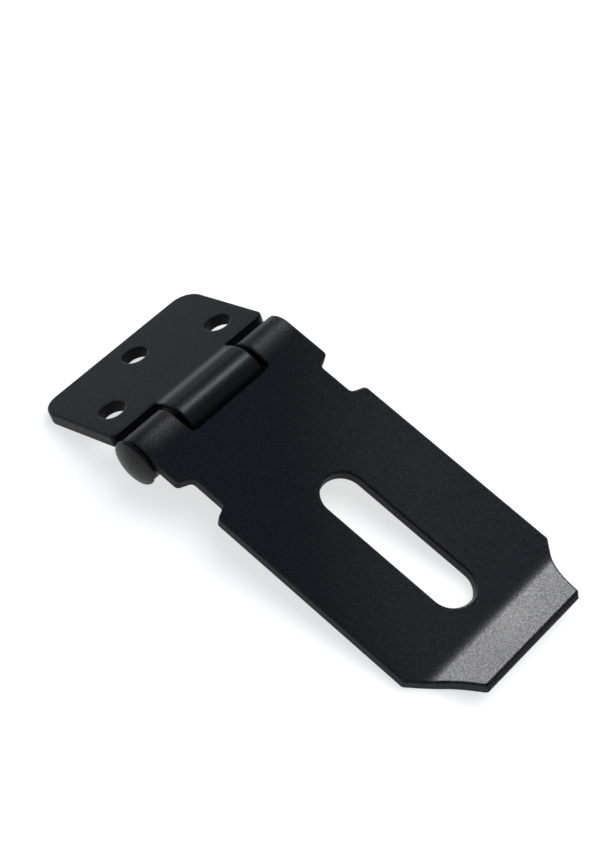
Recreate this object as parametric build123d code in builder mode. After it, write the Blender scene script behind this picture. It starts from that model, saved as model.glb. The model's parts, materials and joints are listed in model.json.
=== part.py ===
"""Door hasp: a screw-down hinge leaf and a long slotted strap, both pressed from one gauge of steel
sheet, with their eyes rolled round a headed pin. The hasp stands open on a table like a shallow tent:
the leaf's back edge and the bend of the strap's finger lip touch the table, and the stiff hinge holds
them so. X runs along the strap, Y along the hinge pin, Z up, in millimetres.
"""
import os
from math import asin, atan2, cos, degrees, hypot, radians, sin, tan

from build123d import *

os.makedirs("parts", exist_ok=True)

# Sheet and rolled eyes
sheet = 2.3
pin_diameter = 3.9
pin_clearance = 0.05
roll_angle = 290.0
edge_break = 0.3
eye_bore_radius = pin_diameter / 2 + pin_clearance
eye_radius = eye_bore_radius + sheet

# Strap, measured from the hinge axis
strap_width = 38.0
knuckle_length = 9.2
neck_length = 9.3
neck_inset = 2.7
neck_ramp = 1.1
neck_corner = 1.0
slot_start = 26.0
slot_length = 32.4
slot_width = 8.3
lip_bend_start = 61.8
lip_bend_radius = 4.0
lip_angle = 32.0
lip_length = 8.1
lip_taper_start = 60.1
lip_taper_end = 65.4
lip_taper = 41.0
lip_end_taper = 22.0
lip_hollow = 24.0
lip_corner = 0.8
lip_round = 1.3

# Leaf, measured from the hinge axis
leaf_width = 38.2
leaf_length = 25.8
leaf_front_gap = 0.6
leaf_back_corner = 4.0
leaf_front_corner = 1.0
tongue_root = 1.0
tongue_width = 17.6
tongue_crank = 0.5
tongue_flat = 1.2
screw_hole = 5.0
front_hole_distance = 11.1
front_hole_spacing = 26.9
back_hole_distance = 19.8

# Fits round the tongue
tongue_side_gap = 1.0
tongue_end_gap = 0.3
recess_corner = 1.0
recess_width = tongue_width + 2 * tongue_side_gap
recess_depth = (eye_radius**2 - eye_bore_radius**2) ** 0.5 + tongue_end_gap

# Pin
head_radius = 4.6
head_rim = 0.5
head_dome = 1.2
head_gap = 0.3
head_edge_break = 0.2
peened_radius = 2.7
peened_height = 0.6

# How it stands: the height of the axis sets both slopes
hinge_height = 9.0
leaf_top = eye_radius - tongue_crank
leaf_front = (eye_radius**2 - (leaf_top - sheet) ** 2) ** 0.5 + leaf_front_gap
leaf_slope = degrees(
    atan2(leaf_top - sheet, leaf_length)
    + asin(hinge_height / hypot(leaf_length, leaf_top - sheet))
)
bend_height = eye_radius + lip_bend_radius
strap_slope = degrees(
    atan2(bend_height, lip_bend_start)
    + asin((hinge_height - lip_bend_radius - sheet) / hypot(lip_bend_start, bend_height))
)

# The lip's end, along and above the strap
lip_turn = radians(lip_angle)
lip_end_x = lip_bend_start + lip_bend_radius * sin(lip_turn) + lip_length * cos(lip_turn)
lip_end_z = bend_height - lip_bend_radius * cos(lip_turn) + lip_length * sin(lip_turn)

# Reach of the whole hasp each side of the hinge, so that it stands centred on the origin
leaf_reach = leaf_length * cos(radians(leaf_slope)) + leaf_top * sin(radians(leaf_slope))
under_x = lip_end_x + sheet * sin(lip_turn)
under_z = lip_end_z - sheet * cos(lip_turn)
lip_tilt = lip_turn - radians(strap_slope)
strap_reach = max(
    lip_end_x * cos(radians(strap_slope)) + lip_end_z * sin(radians(strap_slope)),
    under_x * cos(radians(strap_slope)) + under_z * sin(radians(strap_slope))
    - lip_round * (cos(lip_tilt) + sin(lip_tilt) - 1),
)
head_reach = strap_width / 2 + head_gap + head_rim + head_dome
far_reach = max(strap_width / 2 + peened_height, leaf_width / 2)
hinge = Vector((leaf_reach - strap_reach) / 2, (head_reach - far_reach) / 2, hinge_height)

# One frame and one section plane for each sheet: x away from the hinge, the other axis out of its face
strap_x = Vector(cos(radians(strap_slope)), 0, -sin(radians(strap_slope)))
leaf_x = Vector(-cos(radians(leaf_slope)), 0, -sin(radians(leaf_slope)))
strap_plan = Plane(origin=hinge, x_dir=strap_x, z_dir=strap_x.cross(Vector(0, 1, 0)))
leaf_plan = Plane(origin=hinge, x_dir=leaf_x, z_dir=leaf_x.cross(Vector(0, -1, 0)))
strap_section = Plane(origin=hinge, x_dir=strap_x, z_dir=(0, -1, 0))
leaf_section = Plane(origin=hinge, x_dir=leaf_x, z_dir=(0, 1, 0))


def outline(corners):
    """Mirror one side's corners (x, y, radius) across the middle of the sheet and draw the outline."""
    both = corners + [(x, -y, radius) for x, y, radius in reversed(corners)]
    points = [(x, y) for x, y, radius in both]
    return FilletPolyline(*points, close=True, radius=[radius for x, y, radius in both])


def rim(part, plan, height):
    """Choose the edges of a sheet's top face, except at its round holes and where it runs on in a bend."""
    return (
        part.edges()
        .filter_by(lambda edge: abs(plan.to_local_coords(edge.center()).Z - height) < 0.01)
        .filter_by(lambda edge: not edge.is_closed)
        .filter_by(Axis.Y, reverse=True)
    )


# The section of a rolled eye: from the crown round the pin to a tip just under the sheet
with BuildSketch() as eye:
    with BuildLine():
        eye_outside = CenterArc((0, 0), eye_radius, 90, roll_angle)
        eye_inside = CenterArc((0, 0), eye_bore_radius, 90, roll_angle)
        Line(eye_outside @ 0, eye_inside @ 0)
        Line(eye_outside @ 1, eye_inside @ 1)
    make_face()

# Strap: a flat sheet with a finger lip bent up at its free end
with BuildPart() as hasp_strap:
    with BuildSketch(strap_section):
        with BuildLine():
            top = Line((0, eye_radius), (lip_bend_start, eye_radius))
            bend_top = CenterArc((lip_bend_start, bend_height), lip_bend_radius, -90, lip_angle)
            lip_top = PolarLine(bend_top @ 1, lip_length, lip_angle)
            lip_edge = PolarLine(lip_top @ 1, sheet, lip_angle - 90)
            PolarLine(lip_edge @ 1, lip_length, lip_angle + 180)
            CenterArc((lip_bend_start, bend_height), lip_bend_radius + sheet, -90, lip_angle)
            under = Line((lip_bend_start, eye_bore_radius), (0, eye_bore_radius))
            Line(under @ 1, top @ 0)
        make_face()
    extrude(amount=strap_width / 2, both=True)

    # The blank's outline: forked round the tongue, necked behind the knuckles, tapered along the lip
    half = strap_width / 2
    neck_end = knuckle_length + neck_length
    taper_inset = (lip_taper_end - lip_taper_start) * tan(radians(lip_taper))
    beyond_lip = under_x + sheet
    end_inset = taper_inset + (beyond_lip - lip_taper_end) * tan(radians(lip_end_taper))
    with BuildSketch(strap_plan):
        with BuildLine():
            outline(
                [
                    (recess_depth, recess_width / 2, recess_corner),
                    (0, recess_width / 2, 0),
                    (0, half, 0),
                    (knuckle_length, half, neck_corner),
                    (knuckle_length + neck_ramp, half - neck_inset, neck_corner),
                    (neck_end - neck_ramp, half - neck_inset, neck_corner),
                    (neck_end, half, neck_corner),
                    (lip_taper_start, half, lip_corner),
                    (lip_taper_end, half - taper_inset, lip_hollow),
                    (beyond_lip, half - end_inset, 0),
                ]
            )
        make_face()
        with Locations((slot_start + slot_length / 2, 0)):
            SlotOverall(slot_length, slot_width, mode=Mode.SUBTRACT)
    extrude(amount=3 * bend_height, both=True, mode=Mode.INTERSECT)

    # Rounded corners at the lip's end
    lip_end = hasp_strap.faces().sort_by(Axis((0, 0, 0), strap_x))[-1]
    fillet(lip_end.edges().sort_by(SortBy.LENGTH)[:2], lip_corner)

    # The lip's lower edge is rounded for the finger that lifts it
    with BuildSketch(strap_section):
        with BuildLine():
            inward = PolarLine(lip_edge @ 1, lip_round, lip_angle + 180)
            upward = PolarLine(lip_edge @ 1, lip_round, lip_angle + 90)
            round_middle = PolarLine(inward @ 1, lip_round, lip_angle + 90, mode=Mode.PRIVATE) @ 1
            CenterArc(round_middle, lip_round, lip_angle - 90, 90)
        make_face()
    extrude(amount=strap_width / 2, both=True, mode=Mode.SUBTRACT)

    # Two outer knuckles, rolled down round the pin from the strap's top face
    knuckle_width = (strap_width - recess_width) / 2
    for side in (-1, 1):
        middle = side * (strap_width - knuckle_width) / 2
        with BuildSketch(strap_section.offset(-middle)):
            add(eye.sketch)
        extrude(amount=knuckle_width / 2, both=True)

    # The top face's edges are broken, and the chamfer runs on round the knuckles and along the lip
    chamfer(rim(hasp_strap, strap_plan, eye_radius), edge_break)
hasp_strap.part.label = "hasp_strap"
export_step(hasp_strap.part, "parts/hasp_strap.step")

# Leaf: a flat plate with a cranked tongue whose end is rolled round the pin between the knuckles
crank_run = leaf_front - tongue_flat
crank_turn = 2 * degrees(atan2(tongue_crank, crank_run))
crank_radius = crank_run / (2 * sin(radians(crank_turn)))
crank_low = (leaf_front, leaf_top + crank_radius)
crank_high = (tongue_flat, eye_radius - crank_radius)
with BuildPart() as hinge_leaf:
    with BuildSketch(leaf_section):
        with BuildLine():
            tongue_top = Line((0, eye_radius), (tongue_flat, eye_radius))
            CenterArc(crank_high, crank_radius, 90, -crank_turn)
            CenterArc(crank_low, crank_radius, -90, -crank_turn)
            plate_top = Line((leaf_front, leaf_top), (leaf_length, leaf_top))
            plate_edge = PolarLine(plate_top @ 1, sheet, -90)
            Line(plate_edge @ 1, (leaf_front, leaf_top - sheet))
            CenterArc(crank_low, crank_radius + sheet, -90, -crank_turn)
            CenterArc(crank_high, crank_radius - sheet, 90, -crank_turn)
            tongue_under = Line((tongue_flat, eye_bore_radius), (0, eye_bore_radius))
            Line(tongue_under @ 1, tongue_top @ 0)
        make_face()
    extrude(amount=leaf_width / 2, both=True)

    # The blank's outline: a plate with round back corners, narrowed to the tongue, and its screw holes
    with BuildSketch(leaf_plan):
        with BuildLine():
            outline(
                [
                    (0, tongue_width / 2, 0),
                    (leaf_front, tongue_width / 2, tongue_root),
                    (leaf_front, leaf_width / 2, leaf_front_corner),
                    (leaf_length, leaf_width / 2, leaf_back_corner),
                ]
            )
        make_face()
        with Locations(
            (front_hole_distance, -front_hole_spacing / 2),
            (front_hole_distance, front_hole_spacing / 2),
            (back_hole_distance, 0),
        ):
            Circle(screw_hole / 2, mode=Mode.SUBTRACT)
    extrude(amount=2 * eye_radius, both=True, mode=Mode.INTERSECT)

    with BuildSketch(leaf_section):
        add(eye.sketch)
    extrude(amount=tongue_width / 2, both=True)

    # The leaf's rim is rounded by as much, which follows the crank's bends and the tongue's eye
    fillet(rim(hinge_leaf, leaf_plan, leaf_top), edge_break)
hinge_leaf.part.label = "hinge_leaf"
export_step(hinge_leaf.part, "parts/hinge_leaf.step")

# Pin: a shallow domed head on a short rim at the near end, and a peened end that holds it in
near_face = strap_width / 2 + head_gap
head_edge = near_face + head_rim
far_face = -strap_width / 2
dome_radius = (head_radius**2 + head_dome**2) / (2 * head_dome)
peened_dome_radius = (peened_radius**2 + peened_height**2) / (2 * peened_height)
with BuildPart() as hinge_pin:
    with BuildSketch(Plane(origin=hinge, x_dir=(0, -1, 0), z_dir=(-1, 0, 0))):
        with BuildLine():
            RadiusArc((far_face - peened_height, 0), (far_face, peened_radius), peened_dome_radius)
            Polyline(
                (far_face, peened_radius),
                (far_face, pin_diameter / 2),
                (near_face, pin_diameter / 2),
                (near_face, head_radius),
                (head_edge, head_radius),
            )
            RadiusArc((head_edge, head_radius), (head_edge + head_dome, 0), dome_radius)
            Line((head_edge + head_dome, 0), (far_face - peened_height, 0))
        make_face()
    revolve(axis=Axis(hinge, (0, 1, 0)))
    rim_edges = hinge_pin.edges().filter_by(GeomType.CIRCLE).filter_by(
        lambda edge: abs(edge.radius - head_radius) < head_edge_break
    )
    chamfer(rim_edges, head_edge_break)
hinge_pin.part.label = "hinge_pin"
export_step(hinge_pin.part, "parts/hinge_pin.step")

print("slopes of leaf and strap", round(leaf_slope, 2), round(strap_slope, 2), "hinge", hinge)
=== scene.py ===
# %% [markdown]
# # A black door hasp on a white table
#
# A hasp is two strips of pressed steel that share a rolled hinge. This lesson dresses the finished CAD
# solids in the black powder coat that such ironmongery is sold in, stands them under studio lights and
# points a camera at them. The CAD model is the frame: it says where every piece is, so nothing is fitted
# by eye, and every length below is in metres.

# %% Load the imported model
import json
from math import cos, pi, radians, sin

import bpy
import numpy as np
from mathutils import Matrix, Vector


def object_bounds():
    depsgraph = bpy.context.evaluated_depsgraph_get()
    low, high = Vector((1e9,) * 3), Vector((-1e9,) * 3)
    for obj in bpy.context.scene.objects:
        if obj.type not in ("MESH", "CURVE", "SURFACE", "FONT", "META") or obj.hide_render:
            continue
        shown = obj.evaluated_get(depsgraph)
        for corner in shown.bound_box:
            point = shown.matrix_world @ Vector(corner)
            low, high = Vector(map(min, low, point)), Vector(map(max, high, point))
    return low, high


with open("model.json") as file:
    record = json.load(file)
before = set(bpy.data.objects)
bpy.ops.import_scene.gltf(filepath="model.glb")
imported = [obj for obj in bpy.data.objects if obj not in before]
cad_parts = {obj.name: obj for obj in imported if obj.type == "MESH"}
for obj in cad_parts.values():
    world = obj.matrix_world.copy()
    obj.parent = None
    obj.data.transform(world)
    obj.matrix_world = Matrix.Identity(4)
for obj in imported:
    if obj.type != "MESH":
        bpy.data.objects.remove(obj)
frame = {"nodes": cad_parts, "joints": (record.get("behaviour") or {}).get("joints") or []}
cad_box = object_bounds()
leaf = frame["nodes"]["hinge_leaf"]
strap = frame["nodes"]["hasp_strap"]
pin = frame["nodes"]["hinge_pin"]

# %% [markdown]
# ## Find the hinge
#
# Everything is placed from the hinge axis, because both sheets turn about it. It could be typed in as
# numbers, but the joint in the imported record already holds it, and reading it from there keeps the camera
# and the lights right if the hasp is ever made longer or wider.

# %% The hinge axis
MM = 0.001
hinge = Vector(frame["joints"][0]["pos_m"])
hasp_low, hasp_high = (Vector(corner) for corner in cad_box)
print("hinge at", [round(c / MM, 2) for c in hinge], "mm")
print("hasp is", [round(c / MM, 1) for c in hasp_high - hasp_low], "mm")

# %% [markdown]
# ## Stand where the photographer stood
#
# A product shot of flat ironmongery looks down at about fifty degrees and from one corner, so that both
# faces, one long edge and the barrel of the hinge show together. The camera could be dragged about until it
# looks right, but a place given as a compass angle, a height angle and a distance from a point on the
# table is easier to understand and to repeat. The long lens keeps the far end nearly as wide as the near.

# %% Directions and aiming


def direction(turn, rise):
    """The unit vector that points out at a compass angle, from -Y towards +X, and up at a height angle."""
    return Vector((sin(turn) * cos(rise), -cos(turn) * cos(rise), sin(rise)))


def aim(thing, place, target, along=(0, 0, 1)):
    """Put a camera or light at a place, look down its -Z axis at a target, and turn its +Y axis to run along."""
    back = (Vector(place) - Vector(target)).normalized()
    side = Vector(along).cross(back).normalized()
    turn = Matrix((side, back.cross(side), back)).transposed()
    thing.matrix_world = Matrix.Translation(place) @ turn.to_4x4()


print("towards -Y:", tuple(direction(0, 0)), "straight up:", [round(c, 3) for c in direction(0, pi / 2)])

# %% The camera
PICTURE_HEIGHT = 853
CAMERA_TURN = radians(41.69)
CAMERA_RISE = radians(52.24)
CAMERA_DISTANCE = 372.1 * MM
FOCAL_PIXELS = 2080.9
LOOK_AT = Vector((hinge.x + 11.2 * MM, hinge.y + 10.3 * MM, 0.0))

lens = bpy.data.cameras.new("studio_camera")
lens.sensor_fit = "VERTICAL"
lens.sensor_height = 24.0
lens.lens = lens.sensor_height * FOCAL_PIXELS / PICTURE_HEIGHT
lens.clip_start = 10 * MM
camera = bpy.data.objects.new("studio_camera", lens)
bpy.context.scene.collection.objects.link(camera)
aim(camera, LOOK_AT + direction(CAMERA_TURN, CAMERA_RISE) * CAMERA_DISTANCE, LOOK_AT)
bpy.context.scene.camera = camera
print("lens", round(lens.lens, 1), "mm on a", lens.sensor_height, "mm high sensor")

# %% [markdown]
# ## A white table
#
# The table is only there to catch a pale shadow. A plane would do, but a round sheet of numpy points looks
# the same from every side and has no corner that could creep into a picture. It stays flat: a rim that swept
# up would be mirrored in the leaf, which leans towards the horizon, and turn its charcoal to grey.

# %% The table
TABLE_RADIUS = 1.6
TABLE_RINGS = 24
TABLE_STEPS = 96


def table_surface(across, around):
    """A flat round table: across runs from its middle to its rim, around is the angle, and height is nothing."""
    reach = across * TABLE_RADIUS
    return np.stack([reach * np.cos(around), reach * np.sin(around), np.zeros_like(reach)], axis=-1)


def ringed_mesh(name, points):
    """Make a mesh of rings of points: each square of four neighbours is a face, and each ring is closed."""
    rings, steps = points.shape[:2]
    here = np.arange(rings * steps).reshape(rings, steps)
    beside = np.roll(here, -1, axis=1)
    faces = np.stack([here[:-1], here[1:], beside[1:], beside[:-1]], axis=-1).reshape(-1, 4)
    mesh = bpy.data.meshes.new(name)
    mesh.from_pydata(points.reshape(-1, 3), [], faces)
    mesh.polygons.foreach_set("use_smooth", np.ones(len(faces), bool))
    made = bpy.data.objects.new(name, mesh)
    bpy.context.scene.collection.objects.link(made)
    return made


turns = np.linspace(0, 2 * pi, TABLE_STEPS, endpoint=False)
across, around = np.meshgrid(np.linspace(0, 1, TABLE_RINGS), turns, indexing="ij")
table = ringed_mesh("table", table_surface(across, around))
print("table", len(table.data.polygons), "faces")

# %% [markdown]
# ## Node shorthand
#
# A finish is a small graph of shader nodes. Clicking one together works, but a few lines that add a node
# and wire it keep the recipe readable, and every number stays next to the thing that it changes.

# %% Helpers for shader graphs


def new_material(name):
    """Start a node material and return it with its tree and its main shader."""
    material = bpy.data.materials.new(name)
    material.use_nodes = True
    tree = material.node_tree
    return material, tree, tree.nodes["Principled BSDF"]


def add_node(tree, kind, inputs=None, **options):
    """Add one node, set its options, and feed its inputs, named or numbered, with values or other outputs."""
    node = tree.nodes.new("ShaderNode" + kind)
    for option, choice in options.items():
        setattr(node, option, choice)
    for label, value in (inputs or {}).items():
        if isinstance(value, bpy.types.NodeSocket):
            tree.links.new(value, node.inputs[label])
        else:
            node.inputs[label].default_value = value
    return node


def math_step(tree, operation, *values):
    """One step of arithmetic on values or outputs, such as MULTIPLY or MAXIMUM."""
    return add_node(tree, "Math", dict(enumerate(values)), operation=operation).outputs[0]


def grain(tree, place, size, detail=2.0, roughness=0.5):
    """A cloudy pattern whose blobs are about as large as size, from 0 to 1."""
    inputs = {"Vector": place, "Scale": 1 / size, "Detail": detail, "Roughness": roughness}
    return add_node(tree, "TexNoise", inputs).outputs["Fac"]


def between(tree, value, low, high, low_to=0.0, high_to=1.0):
    """Stretch the part of a value from low to high over low_to to high_to, and hold it there outside."""
    return add_node(tree, "MapRange", dict(enumerate((value, low, high, low_to, high_to))), clamp=True).outputs[0]


print("helpers ready:", ", ".join(helper.__name__ for helper in (new_material, add_node, math_step, grain, between)))

# %% [markdown]
# ## Paper white
#
# The table is matt paper. Under a lamp alone it would fall to grey inside every shadow, and a picture of
# black metal wants it nearly white there too. More lamps would fill the shadows, but each would also be
# mirrored in the coat. So the paper glows a little by itself, as a lit translucent sheet does.

# %% Table finish
paper, paper_tree, paper_shader = new_material("white_table")
paper_shader.inputs["Base Color"].default_value = (0.93, 0.93, 0.93, 1)
paper_shader.inputs["Roughness"].default_value = 0.9
paper_shader.inputs["Specular IOR Level"].default_value = 0.1
paper_shader.inputs["Emission Color"].default_value = (1, 1, 1, 1)
paper_shader.inputs["Emission Strength"].default_value = 0.67
table.data.materials.append(paper)
print(table.name, "wears", paper.name)

# %% [markdown]
# ## The sheared sides
#
# A press cuts the outline, the slot and the holes out of the sheet, and the cut sides come out rough. Coat
# hides that, but it still shines less there than on the rolled faces. The sides could be picked one by one,
# but a rule is shorter: a side is what stands upright, as seen in the steel's own axes. Only the round of
# the barrel stands upright too without being cut, so it's left out by its distance from the pin.

# %% Finding the sheared sides
BARREL_REACH = 5.2 * MM
BARREL_FADE = 0.4 * MM


def how_far(tree, value, start=0.0):
    """How far a value is from a start, either way."""
    return math_step(tree, "ABSOLUTE", math_step(tree, "SUBTRACT", value, start))


def sheared_sides(tree, place, normal, pin_x):
    """From 0 to 1: upright, and either out past the barrel or facing along the pin."""
    turned = {"vector_type": "NORMAL", "convert_from": "WORLD", "convert_to": "OBJECT"}
    facing = add_node(tree, "VectorTransform", {0: normal}, **turned).outputs[0]
    facing = add_node(tree, "SeparateXYZ", {0: facing}).outputs
    along = add_node(tree, "SeparateXYZ", {0: place}).outputs["X"]
    upright = between(tree, how_far(tree, facing["Z"]), 0.75, 0.5)
    past_barrel = between(tree, how_far(tree, along, pin_x), BARREL_REACH, BARREL_REACH + BARREL_FADE)
    along_pin = between(tree, how_far(tree, facing["Y"]), 0.4, 0.6)
    return math_step(tree, "MULTIPLY", upright, math_step(tree, "MAXIMUM", past_barrel, along_pin))


print("the barrel reaches", round(BARREL_REACH / MM, 1), "mm from the pin's axis")

# %% [markdown]
# ## Powder coat
#
# Powder coat is plastic dust, sprayed on dry and baked until it flows. It never flows quite flat: seen
# close, it has a fine pebbled grain with a slow waviness under it, and it thins out over sharp edges,
# where handling then polishes it. A photograph of the coat would only work from one side, so it is built
# from three noises on Object coordinates, which stay fixed to the steel as the hinge swings. A Bevel node
# rounds the edges for light only and, compared with the true normal, also finds them for the wear.

# %% Powder coat
EDGE_ROUND = 0.4 * MM
WAVE_SIZE, WAVE_DEPTH = 2.4 * MM, 0.012 * MM
CLOUD_SIZE, CLOUD_GLOSS = 14 * MM, 0.02
WORN_TONE = (0.03, 0.03, 0.032, 1)


def coat_relief(tree, shader, rounded, waves, pebbles, pebble_depth):
    """Lift the light's normal over the slow waves first, and over the pebbles after them."""
    wavy = {"Strength": 0.5, "Distance": WAVE_DEPTH, "Height": waves, "Normal": rounded}
    wavy = add_node(tree, "Bump", wavy).outputs["Normal"]
    pebbled = {"Strength": 1.0, "Distance": pebble_depth, "Height": pebbles, "Normal": wavy}
    tree.links.new(add_node(tree, "Bump", pebbled).outputs["Normal"], shader.inputs["Normal"])


def coat_tone(tree, shader, rounded, pebbles, tone):
    """Paint the tone, and the worn tone on the pebbles of an edge, where the two normals part."""
    true_normal = add_node(tree, "NewGeometry").outputs["Normal"]
    same = add_node(tree, "VectorMath", {0: rounded, 1: true_normal}, operation="DOT_PRODUCT").outputs["Value"]
    rubbed = math_step(tree, "MULTIPLY", between(tree, same, 0.999, 0.93), between(tree, pebbles, 0.45, 0.65))
    colour = add_node(tree, "Mix", {0: rubbed, 6: tone, 7: WORN_TONE}, data_type="RGBA").outputs[2]
    tree.links.new(colour, shader.inputs["Base Color"])


def powder_coat(name, piece, tone, gloss, pebble, pebble_depth, pore, shine=0.5, side_shine=0.18):
    """Coat a piece: pore says how much shine the dips between pebbles lose, side_shine what the sides keep."""
    material, tree, shader = new_material(name)
    place = add_node(tree, "TexCoord").outputs["Object"]
    pebbles = grain(tree, place, pebble, detail=3.0, roughness=0.6)
    waves = grain(tree, place, WAVE_SIZE, detail=1.0)
    clouds = grain(tree, place, CLOUD_SIZE)
    rounded = add_node(tree, "Bevel", {"Radius": EDGE_ROUND}, samples=8).outputs["Normal"]
    coat_tone(tree, shader, rounded, pebbles, tone)
    roughness = between(tree, clouds, 0.3, 0.7, gloss - CLOUD_GLOSS, gloss + CLOUD_GLOSS)
    tree.links.new(roughness, shader.inputs["Roughness"])
    pin_x = (piece.matrix_world.inverted() @ hinge).x
    dulled = between(tree, sheared_sides(tree, place, rounded, pin_x), 0.0, 1.0, 1.0, side_shine)
    pored = between(tree, pebbles, 0.3, 0.7, shine - pore, shine + pore)
    tree.links.new(math_step(tree, "MULTIPLY", pored, dulled), shader.inputs["Specular IOR Level"])
    coat_relief(tree, shader, rounded, waves, pebbles, pebble_depth)
    piece.material_slots[0].material = material
    print(piece.name, "wears", material.name, "of", len(tree.nodes), "nodes")


# %% [markdown]
# ## One coat, three recipes
#
# All three pieces wear the same kind of coat, but they don't look quite alike. The strap is the roughest
# and a little blue, with the strongest grain. The leaf is smoother and takes the charcoal of the horizon,
# and the pin's head is almost even. One material would be simpler, but with its own numbers for each piece
# the recipe follows these small steps, and the eye sees three pieces.

# %% Coat the strap, the leaf and the pin
powder_coat(
    "strap_powder", strap, (0.007, 0.007, 0.0118, 1), gloss=0.48, pebble=0.3 * MM, pebble_depth=0.016 * MM, pore=0.36
)
powder_coat(
    "leaf_powder", leaf, (0.0045, 0.0045, 0.0055, 1), gloss=0.4, pebble=0.3 * MM, pebble_depth=0.014 * MM, pore=0.22
)
powder_coat(
    "pin_powder", pin, (0.004, 0.004, 0.005, 1), gloss=0.4, pebble=0.3 * MM, pebble_depth=0.006 * MM, pore=0.06,
    shine=0.24, side_shine=0.9,
)

# %% [markdown]
# ## Studio light
#
# Black metal has hardly any colour of its own: what one sees is the room, mirrored dimly. Under an even
# sky the hasp would be one flat grey. A photographer gives such a thing a white table and a dark room, and
# then picks out single faces with narrow beams. Here one snooted lamp is mirrored by the tilted finger lip,
# one narrow strip by the crown of the barrel, and a broad box from the right lays the pale shadow down.

# %% Lamps and where they hang


def hang(light, turn, rise, distance, spot, along=(0, 0, 1)):
    """Hang a light at an angle and a distance from a spot, aimed at it and out of the camera's sight."""
    lamp = bpy.data.objects.new(light.name, light)
    bpy.context.scene.collection.objects.link(lamp)
    lamp.visible_camera = False
    aim(lamp, Vector(spot) + direction(turn, rise) * distance, spot, along)
    print(lamp.name, "gives", round(light.energy, 4), "W from", round(distance / MM), "mm")
    return lamp


def soft_box(name, width, height, radiance, spread=pi):
    """A soft box of a brightness: its watts are radiance times pi times its area. Spread is its beam's angle."""
    light = bpy.data.lights.new(name, "AREA")
    light.shape = "RECTANGLE"
    light.size = width
    light.size_y = height
    light.spread = spread
    light.energy = radiance * pi * width * height
    return light


# %% The broad box
KEY_SIDE = 900 * MM
key_box = hang(soft_box("key_box", KEY_SIDE, KEY_SIDE, 1.95), radians(150), radians(66), 1000 * MM, (0, 0, 0))
key_box.visible_glossy = False

# %% [markdown]
# ## Two narrow beams
#
# Both beams would also draw a bright streak on the table. In a studio, black flags on stands cut the beam
# off there. Light linking does the same: a collection names the table as what the beam leaves out.

# %% The snooted lamp and the strip
flagged = bpy.data.collections.new("flagged_from_beams")
flagged.objects.link(table)
flagged.collection_objects[0].light_linking.link_state = "EXCLUDE"

snoot = bpy.data.lights.new("lip_lamp", "SPOT")
snoot.shadow_soft_size = 10 * MM
snoot.spot_size = radians(5.2)
snoot.spot_blend = 0.3
snoot.energy = 11.8
lip_middle = (hinge.x + 70.5 * MM, hinge.y, 7 * MM)
lip_lamp = hang(snoot, radians(-120), radians(24.5), 600 * MM, lip_middle)

strip = soft_box("barrel_strip", 6 * MM, 36 * MM, 0.46, radians(2))
barrel_crown = (hinge.x - 2.5 * MM, hinge.y + 3 * MM, hinge.z + 4 * MM)
barrel_strip = hang(strip, radians(-157), radians(61.5), 200 * MM, barrel_crown, along=(0, 1, 0))
for beam in (lip_lamp, barrel_strip):
    beam.light_linking.receiver_collection = flagged

# %% [markdown]
# ## The room
#
# The metal mirrors the room, so the room is dim and a little blue. The camera looks past the table's edge
# only from low down, and there it should meet a white backdrop. A Light Path node tells the two apart.

# %% The room and its backdrop
world = bpy.data.worlds.new("studio_room")
world.use_nodes = True
room_tree = world.node_tree
room = room_tree.nodes["Background"]
room.inputs["Color"].default_value = (0.8, 0.88, 1.0, 1)
room.inputs["Strength"].default_value = 0.15
backdrop = add_node(room_tree, "Background", {"Color": (1, 1, 1, 1), "Strength": 1.0}).outputs[0]
seen = add_node(room_tree, "LightPath").outputs["Is Camera Ray"]
both = add_node(room_tree, "MixShader", {0: seen, 1: room.outputs[0], 2: backdrop}).outputs[0]
room_tree.links.new(both, room_tree.nodes["World Output"].inputs["Surface"])
bpy.context.scene.world = world
bpy.context.scene.view_settings.view_transform = "Standard"
